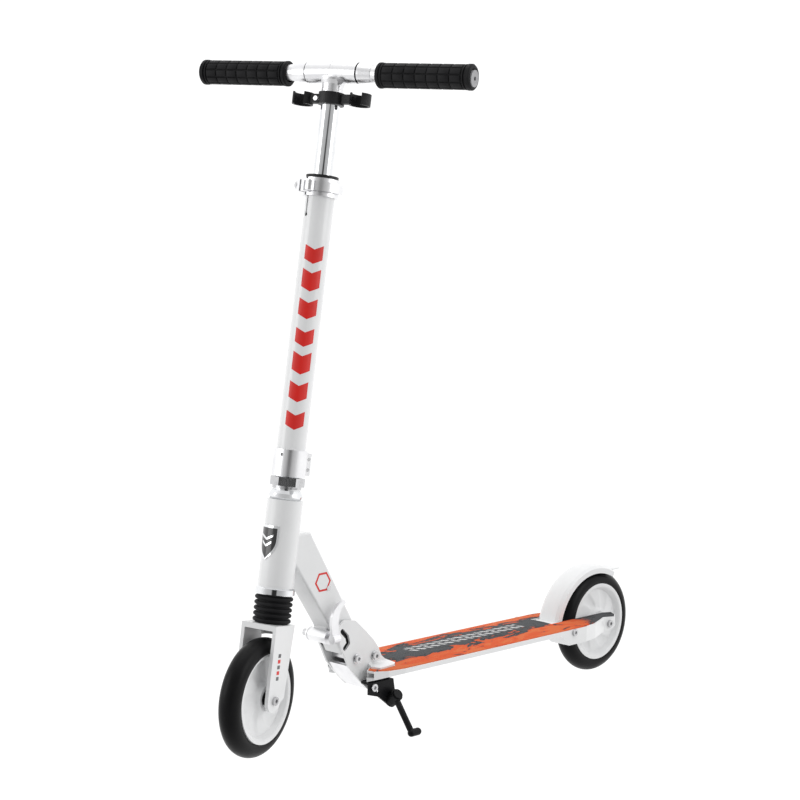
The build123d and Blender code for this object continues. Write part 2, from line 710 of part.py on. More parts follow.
def badge(size, height, thick, radius):
    """Plain shield bent to the head tube."""
    half = [(0, -height / 2), (size * 0.36, -height * 0.25), (size / 2, height * 0.12), (size / 2, height / 2),
            (-size / 2, height / 2), (-size / 2, height * 0.12), (-size * 0.36, -height * 0.25)]
    block = extrude(Plane.YZ.offset(radius - 8) * Polygon(*half, align=None), amount=14, dir=(1, 0, 0))
    return block & tube(radius + thick, radius + fit_gap, -height, height)


# ---------------------------------------------------------------- stand (body frame)
foot_z = (foot_r + foot_y * sin(radians(lean_angle))) / cos(radians(lean_angle))
hub_centre = Vector(stand_hub_x, stand_hub_y, stand_hub_z)
leg = Vector(foot_x, foot_y, foot_z) - hub_centre
stand_axis = leg.cross(Vector(-1, 0, 0)).normalized()
STAND = Location(Plane(origin=hub_centre, x_dir=leg, z_dir=stand_axis))


def kickstand():
    """Hub on the tilted pin, leg and toe; local Z is the hinge, local X runs down the leg."""
    hub = rod(stand_hub_r, -6, 6)
    shank = Rot(0, 90, 0) * rod(stand_leg_r, 4, leg.length)
    body = STAND * (hub + shank - rod(stand_pin_r + run_gap, -7, 7))
    toe_from, toe_to = foot_x - 13, foot_x + 1
    toe = Pos(0, foot_y, foot_z) * Rot(0, 90, 0) * rod(foot_r, toe_from, toe_to)
    tips = Pos(toe_from, foot_y, foot_z) * Sphere(foot_r) + Pos(toe_to, foot_y, foot_z) * Sphere(foot_r)
    return body + toe + tips


def stand_pin():
    return STAND * (rod(stand_pin_r, -13, 9) + rod(stand_hub_r - 2, 6.4, 9.5))


def stand_bracket():
    """Plate under the deck's left side with the tilted boss that carries the stand."""
    flange = brick(156, 205, 10, 49, deck_belly_low - 4, deck_belly_low - fit_gap)
    flange = flange - brick(150, 215, 0, cheek_inner + cheek_thick + 0.5, 60, 90)
    web = slab([(156, deck_belly_low), (stand_hub_x - 9, 60), (stand_hub_x - 4, 47), (stand_hub_x + 7, 46), (188, 62),
                (209, 68), (209, deck_belly_low)], 45, 49)
    boss = STAND * rod(stand_hub_r, -15, -6.4)
    hole = Pos(189, 0, 71) * rod_y(3, 40, 55)
    bolt_hole = Pos(200, 0, 79) * rod_y(3 + fit_gap, 40, 55)
    return flange + web + boss - hole - bolt_hole - STAND * (rod(stand_pin_r + fit_gap, -20, 0) + rod(stand_hub_r + 0.4, -6.4, 30))


def stand_bolt():
    return screw_y(200, 79, 6, 3, 42, 49 + fit_gap, 4)


# ---------------------------------------------------------------- fender (body frame)
def fender():
    """Arched foot brake over the rear tyre, hinged on a pin across the arms."""
    r, half, wall = fender_r, fender_half, fender_wall
    drop = 14.0
    outer = [(r - drop, -half), (r - 5, -half), (r - 1.5, -half + 6), (r, -6), (r, 6), (r - 1.5, half - 6), (r - 5, half), (r - drop, half)]
    inner = [(r - drop, half - wall), (r - 5 - wall / 2, half - wall), (r - 1.5 - wall, half - 6 - wall / 2), (r - wall, 5),
             (r - wall, -5), (r - 1.5 - wall, -half + 6 + wall / 2), (r - 5 - wall / 2, -half + wall), (r - drop, -half + wall)]
    section = Polygon(*(outer + inner), align=None)
    start, end = 9.0, 118.0
    arch = revolve(section, axis=Axis.Y, revolution_arc=end - start)
    arch = Pos(fender_cx, 0, fender_cz) * Rot(0, -end, 0) * arch
    tail = Pos(fender_cx, 0, fender_cz) * Rot(0, -end, 0) * slab(
        [(r - wall, -2), (r, -2), (r + 9, 14), (r + 7.5, 15)], -half + 4, half - 4)
    knuckle = Pos(fender_pin_x, 0, fender_pin_z) * rod_y(7.5, -half + 1, half - 1)
    web = slab([(-268, 93), (-262, 99), (-272, 106), (-281, 104), (-277, 96)], -half + 1, half - 1)
    body = arch + tail + knuckle + web
    return body - Pos(fender_pin_x, 0, fender_pin_z) * rod_y(fender_pin_r + run_gap, -half - 5, half + 5)


def fender_pin():
    return screw_y(fender_pin_x, fender_pin_z, 6.0, fender_pin_r, -deck_half, deck_half + fit_gap, 3) + Pos(
        fender_pin_x, 0, fender_pin_z) * rod_y(6, -deck_half - 3, -deck_half)


# ---------------------------------------------------------------- assembly
def front_nodes():
    cone, washer, nut = headset_nuts()
    left, right = side_frame(1), side_frame(-1)
    made = {
        "fork": fork(), "bellows": bellows(), "suspension_spring": spring(),
        "steerer_tube": steerer(), "bearing_cone": cone, "lock_washer": washer, "lock_nut": nut,
        "clamp_collar": collar(), "collar_screws": collar_screws(), "column": column(),
        "column_bush": column_bush(), "height_clamp": height_clamp(), "clamp_skewer": clamp_skewer(),
        "height_lever": height_lever(), "inner_tube": inner_tube(), "tee": tee(), "grip_clip": grip_clip(),
        "clip_screw": clip_screw(), "elastic_cord": elastic_cord(),
    }
    for name, place in (("left", left), ("right", right)):
        made["bar_" + name] = place * bar()
        made["grip_" + name] = place * grip()
        made["ferrule_" + name] = place * ferrule()
        made["bar_ring_" + name] = place * bar_ring()
        made["end_plug_" + name] = place * end_plug()
        made["button_" + name] = place * button()
    axle_at = Pos(axle_offset, 0, 0)
    made["front_axle"] = axle_at * axle(leg_inner + leg_thick, 6.5)
    made["front_spacers"] = axle_at * axle_spacers(leg_inner)
    made["front_tyre"] = axle_at * tyre()
    made["front_rim"] = axle_at * rim()
    made["front_bearings"] = axle_at * wheel_bearings()
    return {name: FRONT * shape for name, shape in made.items()}


def neck_nodes():
    head = {
        "headset_cups": headset_cups(), "headset_bearings": headset_bearings(),
        "head_badge": Pos(0, 0, 232) * badge(27, 60, 1.2, head_r),
    }
    made = {name: NECK * shape for name, shape in head.items()}
    made["neck"] = neck()
    made["fold_barrel"] = fold_barrel()
    made["fold_skewer"] = fold_skewer()
    made["fold_lever"] = fold_lever()
    return made


def body_nodes():
    rear = Pos(-wheelbase / 2, 0, wheel_r)
    return {
        "deck": deck(), "grip_tape": grip_tape(), "fold_bracket": fold_bracket(), "latch_plates": latch_plates(),
        "nose_plate": nose_plate(),
        "bracket_bolts": group(bracket_bolt(pivot_x, pivot_z, 0), bracket_bolt(stop_x, stop_z, stop_sleeve_r)),
        "stand_bracket": stand_bracket(), "stand_pin": stand_pin(), "stand_bolt": stand_bolt(), "kickstand": kickstand(),
        "rear_fender": fender(), "fender_pin": fender_pin(),
        "rear_axle": rear * axle(arm_half, 6.5), "rear_spacers": rear * axle_spacers(slot_half),
        "rear_tyre": rear * tyre(), "rear_rim": rear * rim(), "rear_bearings": rear * wheel_bearings(),
    }


def build():
    """Every node in the row's frame: leaning on the stand, origin under the middle of its box."""
    made = {**body_nodes(), **neck_nodes(), **front_nodes()}
    made = {name: LEAN * shape for name, shape in made.items()}
    boxes = [shape.bounding_box() for shape in made.values()]
    low = [min(getattr(b.min, k) for b in boxes) for k in "XYZ"]
    high = [max(getattr(b.max, k) for b in boxes) for k in "XYZ"]
    shift = Pos(-(low[0] + high[0]) / 2, -(low[1] + high[1]) / 2, -low[2])
    return {name: shift * shape for name, shape in made.items()}, shift


if __name__ == "__main__":
    os.makedirs("parts", exist_ok=True)
    nodes, shift = build()
    for name, shape in nodes.items():
        export_step(shape, f"parts/{name}.step")
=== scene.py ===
"""Looks for the folding kick scooter: materials, printed marks, grips, wheel discs, camera and studio."""
import json
from math import cos, pi, radians, sin, sqrt

import bpy
import bmesh
from mathutils import Matrix, Vector


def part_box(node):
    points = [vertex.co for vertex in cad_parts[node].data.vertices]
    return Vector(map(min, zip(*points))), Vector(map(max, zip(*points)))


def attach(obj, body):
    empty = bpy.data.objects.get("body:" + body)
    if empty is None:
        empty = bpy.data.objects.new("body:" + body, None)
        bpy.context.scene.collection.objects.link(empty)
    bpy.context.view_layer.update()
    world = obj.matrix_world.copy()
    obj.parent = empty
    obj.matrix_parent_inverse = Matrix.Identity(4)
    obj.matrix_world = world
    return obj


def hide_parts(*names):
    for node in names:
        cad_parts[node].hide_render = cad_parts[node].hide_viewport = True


bl_info = {
    "name": "Kick scooter maker",
    "version": (1, 0, 0),
    "blender": (4, 5, 0),
    "location": "View3D > Sidebar > Scooter",
    "description": "Dresses the packed scooter frame with finishes, grips, wheel discs and marks",
    "category": "Object",
}

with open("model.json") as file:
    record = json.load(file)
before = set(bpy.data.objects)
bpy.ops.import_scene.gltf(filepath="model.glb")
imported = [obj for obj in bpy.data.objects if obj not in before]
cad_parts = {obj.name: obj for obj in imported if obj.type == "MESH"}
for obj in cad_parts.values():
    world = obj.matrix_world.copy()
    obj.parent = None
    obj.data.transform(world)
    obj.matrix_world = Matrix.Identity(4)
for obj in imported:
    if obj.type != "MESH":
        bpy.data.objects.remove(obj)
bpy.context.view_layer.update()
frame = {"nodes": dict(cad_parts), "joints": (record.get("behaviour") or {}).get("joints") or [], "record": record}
RECORD = frame["record"]
NODES = frame["nodes"]
JOINTS = {joint["name"]: joint for joint in frame["joints"]}


# ---------------------------------------------------------------- frames of the moving groups
def joint_point(name):
    return Vector(JOINTS[name]["pos_m"])


def joint_axis(name):
    return Vector(JOINTS[name]["axis"]).normalized()


def basis(origin, along_z, along_y):
    """Matrix whose columns are X, Y, Z and the origin; Y is squared up to Z."""
    z = along_z.normalized()
    y = (along_y - z * along_y.dot(z)).normalized()
    x = y.cross(z)
    turn = Matrix((x, y, z)).transposed().to_4x4()
    return Matrix.Translation(origin) @ turn


STEER_POINT_HEIGHT = 0.300       # the steer joint's point lies this far up the axis from axle level
AXIS = joint_axis("steer")
AXIS_FOOT = joint_point("steer") - AXIS * STEER_POINT_HEIGHT
FRONT = basis(AXIS_FOOT, AXIS, joint_axis("front_wheel_spin"))
NECK = basis(AXIS_FOOT, AXIS, -joint_axis("fold"))
LEFT = joint_axis("rear_wheel_spin")
UP = Vector((1, 0, 0)).cross(LEFT)
WHEEL_R = (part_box("rear_tyre")[1].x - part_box("rear_tyre")[0].x) / 2
WHEELBASE = 0.800
REAR = joint_point("rear_wheel_spin")
GROUND = REAR - UP * WHEEL_R + Vector((WHEELBASE / 2, 0, 0))
DECK = basis(GROUND, UP, LEFT)


# ---------------------------------------------------------------- mesh helpers
def new_piece(name, verts, faces, body, material, place=None, smooth=True):
    """Makes a mesh piece in a local frame, puts it in place and lets it ride on a body."""
    mesh = bpy.data.meshes.new(name)
    mesh.from_pydata([tuple(v) for v in verts], [], faces)
    if place is not None:
        mesh.transform(place)
    work = bmesh.new()
    work.from_mesh(mesh)
    bmesh.ops.remove_doubles(work, verts=work.verts, dist=1e-6)
    bmesh.ops.recalc_face_normals(work, faces=work.faces)
    work.to_mesh(mesh)
    work.free()
    piece = bpy.data.objects.new(name, mesh)
    bpy.context.scene.collection.objects.link(piece)
    if smooth:
        mesh.shade_smooth()
        mesh.set_sharp_from_angle(angle=radians(38))
    mesh.materials.append(material)
    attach(piece, body)
    return piece


def lathe(profile, steps, depth=None):
    """Closed outline of (radius, along) turned about local Y; depth(along, radius, angle) may shift it."""
    verts, faces = [], []
    count = len(profile)
    for i in range(steps):
        angle = 2 * pi * i / steps
        for radius, along in profile:
            if depth:
                along = along + depth(radius, along, angle)
            verts.append((radius * cos(angle), along, radius * sin(angle)))
    for i in range(steps):
        j = (i + 1) % steps
        for k in range(count):
            m = (k + 1) % count
            faces.append((i * count + k, i * count + m, j * count + m, j * count + k))
    return verts, faces


def bent_strip(outline, radius, thick):
    """Strip laid round a tube about local Z: a lower row of (angle, height), then the upper row backwards."""
    verts = [(r * cos(a), r * sin(a), h) for r in (radius, radius + thick) for a, h in outline]
    total = len(outline)
    faces = []
    for j in range(total // 2 - 1):
        m = total - 1 - j
        faces += [(j, j + 1, m - 1, m), (total + j, total + m, total + m - 1, total + j + 1)]
    for j in range(total):
        n = (j + 1) % total
        faces.append((j, n, total + n, total + j))
    return verts, faces


def flat_plate(outline, low, high):
    """Outline of (x, z) with thickness along Y."""
    count = len(outline)
    verts = [(x, y, z) for y in (low, high) for x, z in outline]
    faces = [tuple(range(count)), tuple(range(count, 2 * count))[::-1]]
    for k in range(count):
        m = (k + 1) % count
        faces.append((k, count + k, count + m, m))
    return verts, faces


def ring_points(radius, count, start=0.0, x=0.0, z=0.0):
    return [(x + radius * cos(start + 2 * pi * k / count), z + radius * sin(start + 2 * pi * k / count))
            for k in range(count)]


# ---------------------------------------------------------------- shader helpers
def new_group(name, inputs, outputs):
    """Shader node group with float inputs (name, default) and typed outputs (name, socket)."""
    group = bpy.data.node_groups.new(name, "ShaderNodeTree")
    for label, default in inputs:
        socket = group.interface.new_socket(label, in_out="INPUT", socket_type="NodeSocketFloat")
        socket.default_value = default
    for label, kind in outputs:
        group.interface.new_socket(label, in_out="OUTPUT", socket_type=kind)
    return group, group.nodes.new("NodeGroupInput"), group.nodes.new("NodeGroupOutput")


def add(tree, kind, **settings):
    node = tree.nodes.new(kind)
    for key, value in settings.items():
        if key in node.inputs:
            node.inputs[key].default_value = value
        else:
            setattr(node, key, value)
    return node


def math_node(tree, operation, a, b=None, clamp=False):
    node = tree.nodes.new("ShaderNodeMath")
    node.operation = operation
    node.use_clamp = clamp
    for socket, value in zip(node.inputs, (a, b)):
        if value is None:
            continue
        if hasattr(value, "is_linked"):
            tree.links.new(value, socket)
        else:
            socket.default_value = value
    return node.outputs[0]


def ramp(tree, value, low, high, from_value=0.0, to_value=1.0):
    node = tree.nodes.new("ShaderNodeMapRange")
    node.interpolation_type = "SMOOTHSTEP"
    tree.links.new(value, node.inputs["Value"])
    for key, number in (("From Min", low), ("From Max", high), ("To Min", from_value), ("To Max", to_value)):
        node.inputs[key].default_value = number
    return node.outputs["Result"]


def mix_colour(tree, factor, a, b):
    node = tree.nodes.new("ShaderNodeMix")
    node.data_type = "RGBA"
    tree.links.new(factor, node.inputs[0])
    for socket, value in ((node.inputs[6], a), (node.inputs[7], b)):
        if hasattr(value, "is_linked"):
            tree.links.new(value, socket)
        else:
            socket.default_value = (*value, 1.0)
    return node.outputs[2]


def make_grain():
    """Fine surface grain: a bump normal and a mask of soft handling marks."""
    group, source, sink = new_group(
        "Surface grain", [("Grain scale", 900.0), ("Grain height", 0.05), ("Mark scale", 14.0)],
        [("Normal", "NodeSocketVector"), ("Marks", "NodeSocketFloat"), ("Grain", "NodeSocketFloat")])
    place = group.nodes.new("ShaderNodeTexCoord")
    fine = add(group, "ShaderNodeTexNoise", Detail=4.0, Roughness=0.6)
    broad = add(group, "ShaderNodeTexNoise", Detail=6.0, Roughness=0.65)
    bump = add(group, "ShaderNodeBump", Distance=0.0004)
    links = group.links
    links.new(place.outputs["Object"], fine.inputs["Vector"])
    links.new(place.outputs["Object"], broad.inputs["Vector"])
    links.new(source.outputs["Grain scale"], fine.inputs["Scale"])
    links.new(source.outputs["Mark scale"], broad.inputs["Scale"])
    links.new(source.outputs["Grain height"], bump.inputs["Strength"])
    links.new(fine.outputs[0], bump.inputs["Height"])
    links.new(bump.outputs[0], sink.inputs["Normal"])
    links.new(ramp(group, broad.outputs[0], 0.38, 0.68), sink.inputs["Marks"])
    links.new(fine.outputs[0], sink.inputs["Grain"])
    return group


def make_brush():
    """Drawn or turned metal: fine lines stretched along one axis, as a normal and a value."""
    group, source, sink = new_group(
        "Brush lines", [("Line scale", 260.0), ("Line height", 0.08)],
        [("Normal", "NodeSocketVector"), ("Lines", "NodeSocketFloat")])
    place = group.nodes.new("ShaderNodeTexCoord")
    stretch = group.nodes.new("ShaderNodeMapping")
    stretch.inputs["Scale"].default_value = (1.0, 1.0, 0.04)
    lines = add(group, "ShaderNodeTexNoise", Detail=3.0)
    bump = add(group, "ShaderNodeBump", Distance=0.0002)
    links = group.links
    links.new(place.outputs["Object"], stretch.inputs["Vector"])
    links.new(stretch.outputs[0], lines.inputs["Vector"])
    links.new(source.outputs["Line scale"], lines.inputs["Scale"])
    links.new(source.outputs["Line height"], bump.inputs["Strength"])
    links.new(lines.outputs[0], bump.inputs["Height"])
    links.new(bump.outputs[0], sink.inputs["Normal"])
    links.new(lines.outputs[0], sink.inputs["Lines"])
    return group


GROUPS = {}


def use_group(tree, name, **inputs):
    makers = {"grain": make_grain, "brush": make_brush}
    if name not in GROUPS:
        GROUPS[name] = makers[name]()
    node = tree.nodes.new("ShaderNodeGroup")
    node.node_tree = GROUPS[name]
    for key, value in inputs.items():
        node.inputs[key.replace("_", " ")].default_value = value
    return node


def start_material(name, **settings):
    material = bpy.data.materials.new(name)
    material.use_nodes = True
    tree = material.node_tree
    shader = tree.nodes["Principled BSDF"]
    for key, value in settings.items():
        shader.inputs[key.replace("_", " ")].default_value = value
    return material, tree, shader


def coated(name, light, dark, rough, coat=0.0, grain=900.0, height=0.05, marks=14.0, spread=0.12, shine=0.5):
    """Paint, plastic or rubber: two close tones in soft marks, grain in the bump and in the gloss."""
    material, tree, shader = start_material(name, Coat_Weight=coat, Coat_Roughness=0.12,
                                            Specular_IOR_Level=shine)
    skin = use_group(tree, "grain", Grain_scale=grain, Grain_height=height, Mark_scale=marks)
    tree.links.new(mix_colour(tree, skin.outputs["Marks"], light, dark), shader.inputs["Base Color"])
    gloss = ramp(tree, skin.outputs["Marks"], 0.0, 1.0, rough, rough + spread)
    tree.links.new(gloss, shader.inputs["Roughness"])
    tree.links.new(skin.outputs["Normal"], shader.inputs["Normal"])
    return material


def metal(name, light, dark, rough, lines=260.0, height=0.08, spread=0.12):
    """Bare or plated metal with drawn lines and a little haze."""
    material, tree, shader = start_material(name, Metallic=1.0)
    brush = use_group(tree, "brush", Line_scale=lines, Line_height=height)
    skin = use_group(tree, "grain", Grain_scale=600.0, Grain_height=0.0, Mark_scale=22.0)
    tree.links.new(mix_colour(tree, skin.outputs["Marks"], light, dark), shader.inputs["Base Color"])
    haze = math_node(tree, "MULTIPLY", brush.outputs["Lines"], skin.outputs["Marks"])
    tree.links.new(ramp(tree, haze, 0.0, 0.8, rough, rough + spread), shader.inputs["Roughness"])
    tree.links.new(brush.outputs["Normal"], shader.inputs["Normal"])
    return material


def tape_material(orange, grey, white):
    """Gritty deck tape with orange flame shapes along its edges and a broken pale band in the middle."""
    material, tree, shader = start_material("deck_tape", Roughness=0.85, Specular_IOR_Level=0.2)
    links = tree.links
    place = tree.nodes.new("ShaderNodeTexCoord")
    shift = tree.nodes.new("ShaderNodeMapping")
    shift.vector_type = "POINT"
    shift.inputs["Location"].default_value = (-GROUND.x, -GROUND.y - 0.0028, 0.0)
    links.new(place.outputs["Object"], shift.inputs["Vector"])
    split = tree.nodes.new("ShaderNodeSeparateXYZ")
    links.new(shift.outputs[0], split.inputs[0])
    across = math_node(tree, "ABSOLUTE", split.outputs["Y"])
    flow = tree.nodes.new("ShaderNodeMapping")
    flow.inputs["Scale"].default_value = (15.0, 44.0, 1.0)
    flow.inputs["Rotation"].default_value = (0.0, 0.0, radians(9))
    links.new(shift.outputs[0], flow.inputs["Vector"])
    flame = add(tree, "ShaderNodeTexNoise", Scale=1.0, Detail=4.5, Roughness=0.55, Distortion=1.3)
    links.new(flow.outputs[0], flame.inputs["Vector"])
    edge = ramp(tree, across, 0.006, 0.056, -0.12, 0.16)
    tongue = math_node(tree, "ADD", flame.outputs[0], edge)
    on_deck = ramp(tree, split.outputs["X"], -0.345, -0.315)
    flames = math_node(tree, "MULTIPLY", ramp(tree, tongue, 0.530, 0.545), on_deck)
    rim = math_node(tree, "MULTIPLY", ramp(tree, tongue, 0.470, 0.490), ramp(tree, tongue, 0.525, 0.505))
    hot = ramp(tree, tongue, 0.62, 0.70)
    grit = add(tree, "ShaderNodeTexNoise", Scale=1400.0, Detail=2.0)
    links.new(place.outputs["Object"], grit.inputs["Vector"])
    cells = add(tree, "ShaderNodeTexVoronoi", Scale=420.0)
    links.new(place.outputs["Object"], cells.inputs["Vector"])
    ground = mix_colour(tree, ramp(tree, grit.outputs[0], 0.35, 0.7), grey, tuple(c * 2.1 for c in grey))
    ground = mix_colour(tree, math_node(tree, "MULTIPLY", rim, 0.7), ground, tuple(c * 0.35 for c in grey))
    fire = mix_colour(tree, hot, orange, (orange[0], orange[1] * 1.45, orange[2] * 1.6))
    colour = mix_colour(tree, flames, ground, fire)
    slant = math_node(tree, "ADD", split.outputs["X"], math_node(tree, "MULTIPLY", split.outputs["Y"], 0.8))
    wave = math_node(tree, "SINE", math_node(tree, "MULTIPLY", slant, 2 * pi / 0.0165))
    dashes = math_node(tree, "GREATER_THAN", wave, 0.15)
    band = ramp(tree, across, 0.0135, 0.0125)
    core = ramp(tree, across, 0.0015, 0.0025)
    length = math_node(tree, "MULTIPLY", ramp(tree, split.outputs["X"], -0.205, -0.200),
                       ramp(tree, split.outputs["X"], 0.075, 0.070))
    mark = math_node(tree, "MULTIPLY", math_node(tree, "MULTIPLY", dashes, band),
                     math_node(tree, "MULTIPLY", core, length))
    worn = math_node(tree, "MULTIPLY", mark, ramp(tree, grit.outputs[0], 0.33, 0.5))
    colour = mix_colour(tree, worn, colour, white)
    links.new(colour, shader.inputs["Base Color"])
    bump = add(tree, "ShaderNodeBump", Strength=0.65, Distance=0.0006)
    links.new(math_node(tree, "ADD", grit.outputs[0], cells.outputs["Distance"]), bump.inputs["Height"])
    links.new(bump.outputs[0], shader.inputs["Normal"])
    return material


def make_materials(finish):
    white = tuple(finish.white)
    shade = tuple(c * 0.97 for c in white)
    return {
        "white_paint": coated("white_paint", white, shade, 0.28, coat=0.35, grain=500.0, height=0.03),
        "white_plastic": coated("white_plastic", white, shade, 0.36, grain=800.0, height=0.04),
        "tape": tape_material(tuple(finish.flame), (0.050, 0.052, 0.055), (0.75, 0.75, 0.75)),
        "dark_steel": coated("black_steel", (0.006, 0.006, 0.007), (0.014, 0.014, 0.015), 0.36, grain=420.0,
                             height=0.12, shine=0.12),
        "steel": metal("spring_steel", (0.60, 0.61, 0.63), (0.45, 0.46, 0.48), 0.25),
        "zinc": metal("zinc_plate", (0.66, 0.66, 0.67), (0.48, 0.48, 0.49), 0.22, lines=420.0),
        "chrome": metal("polished_chrome", (0.86, 0.87, 0.88), (0.74, 0.75, 0.77), 0.05, lines=90.0,
                        height=0.01, spread=0.06),
        "alloy": metal("satin_alloy", (0.87, 0.87, 0.88), (0.79, 0.79, 0.81), 0.30, lines=320.0, height=0.05),
        "rubber": coated("black_rubber", (0.008, 0.008, 0.009), (0.018, 0.018, 0.019), 0.5, grain=1100.0,
                         height=0.15, shine=0.12),
        "tyre": coated("tyre_black", (0.004, 0.004, 0.0045), (0.008, 0.008, 0.0085), 0.30, grain=700.0,
                       height=0.04, marks=9.0, spread=0.16, shine=0.12),
        "black_plastic": coated("black_plastic", (0.007, 0.007, 0.008), (0.015, 0.015, 0.016), 0.38,
                                grain=900.0, height=0.12, shine=0.3),
        "grey_plastic": coated("grey_plastic", (0.36, 0.36, 0.37), (0.24, 0.24, 0.25), 0.40,
                               grain=900.0, height=0.10),
        "badge": coated("badge_black", (0.01, 0.01, 0.011), (0.018, 0.018, 0.02), 0.12, coat=0.6,
                        grain=300.0, height=0.02),
        "cord": coated("woven_cord", (0.03, 0.03, 0.032), (0.07, 0.07, 0.07), 0.8, grain=1600.0, height=0.5),
        "red_print": coated("red_print", tuple(finish.red), tuple(c * 0.85 for c in finish.red), 0.34,
                            grain=500.0, height=0.03),
        "grey_print": coated("grey_print", (0.12, 0.12, 0.125), (0.2, 0.2, 0.2), 0.45,
                             grain=500.0, height=0.03),
    }


MATERIALS = {}


# ---------------------------------------------------------------- settings
class ScooterFinish(bpy.types.PropertyGroup):
    white: bpy.props.FloatVectorProperty(
        name="White", description="Colour of the painted frame, wheels and fender", subtype="COLOR", size=3,
        min=0.0, max=1.0, default=(0.80, 0.805, 0.81))
    red: bpy.props.FloatVectorProperty(
        name="Red print", description="Colour of the printed bars on the column", subtype="COLOR", size=3,
        min=0.0, max=1.0, default=(0.72, 0.018, 0.012))
    flame: bpy.props.FloatVectorProperty(
        name="Flame", description="Colour of the flames on the deck tape", subtype="COLOR", size=3,
        min=0.0, max=1.0, default=(0.63, 0.10, 0.031))


class ScooterSizes(bpy.types.PropertyGroup):
    grip_length: bpy.props.FloatProperty(
        name="Grip length", description="Length of each rubber grip", unit="LENGTH", default=0.154)
    grip_radius: bpy.props.FloatProperty(
        name="Grip radius", description="Radius over the grip's end collars", unit="LENGTH", default=0.0192)
    bar_radius: bpy.props.FloatProperty(
        name="Bar radius", description="Radius of the bar inside the grip", unit="LENGTH", default=0.01252)
    grip_rows: bpy.props.IntProperty(name="Grip rows", description="Blocks round each grip", default=10)
    grip_columns: bpy.props.IntProperty(name="Grip columns", description="Blocks along each grip", default=7)
    spokes: bpy.props.IntProperty(name="Spokes", description="Raised spokes on each wheel disc", default=6)
    column_radius: bpy.props.FloatProperty(
        name="Column radius", description="Radius of the steering column", unit="LENGTH", default=0.022)
    head_radius: bpy.props.FloatProperty(
        name="Head tube radius", description="Radius of the head tube", unit="LENGTH", default=0.027)


# ---------------------------------------------------------------- pieces
class OBJECT_OT_scooter_finishes(bpy.types.Operator):
    """Give every frame part its finish"""
    bl_idname = "object.scooter_finishes"
    bl_label = "Finishes"

    def execute(self, context):
        MATERIALS.update(make_materials(context.scene.scooter_finish))
        slots = {part["node"]: part["material_slot"] for part in RECORD["subparts"]}
        for name, node in NODES.items():
            node.data.materials.clear()
            node.data.materials.append(MATERIALS[slots[name]])
        return {"FINISHED"}


class OBJECT_OT_scooter_wheels(bpy.types.Operator):
    """Build the two white wheel discs with raised spokes"""
    bl_idname = "object.scooter_wheels"
    bl_label = "Wheel discs"

    def execute(self, context):
        spokes = context.scene.scooter_sizes.spokes
        unit = WHEEL_R / 90.0

        def relief(radius, along, angle):
            """Depth of the hollows between the spokes, in line units."""
            across = radius / unit
            if abs(along) < 1e-6 or across < 24.0 or across > 56.0:
                return 0.0
            swirl = angle + 0.012 * (across - 24.0)
            hollow = max(0.0, sin(spokes * swirl)) ** 0.6
            fade = min(1.0, (across - 23.0) / 6.0, (57.0 - across) / 5.0)
            return -hollow * fade * 2.4 * unit * (1 if along > 0 else -1)

        half = [(14.05, 0.0), (14.05, 17.0), (18.5, 17.0), (19.5, 16.0), (20.5, 12.0), (23.0, 9.5)]
        half += [(23.0 + 2.75 * k, 9.0 - 0.15 * k) for k in range(1, 13)]
        half += [(57.5, 9.5), (60.5, 14.5), (62.0, 16.0), (64.0, 16.6), (67.9, 16.6)]
        profile = half + [(r, -y) for r, y in reversed(half[1:])]
        profile = [(r * unit, y * unit) for r, y in profile]
        for end, centre, body in (("front", joint_point("front_wheel_spin"), "front_wheel"),
                                  ("rear", REAR, "rear_wheel")):
            verts, faces = lathe(profile, 180, relief)
            place = basis(centre, UP, joint_axis(end + "_wheel_spin"))
            disc = new_piece(end + "_disc", verts, faces, body, MATERIALS["white_plastic"],
                             place)
            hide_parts(end + "_rim")
        return {"FINISHED"}


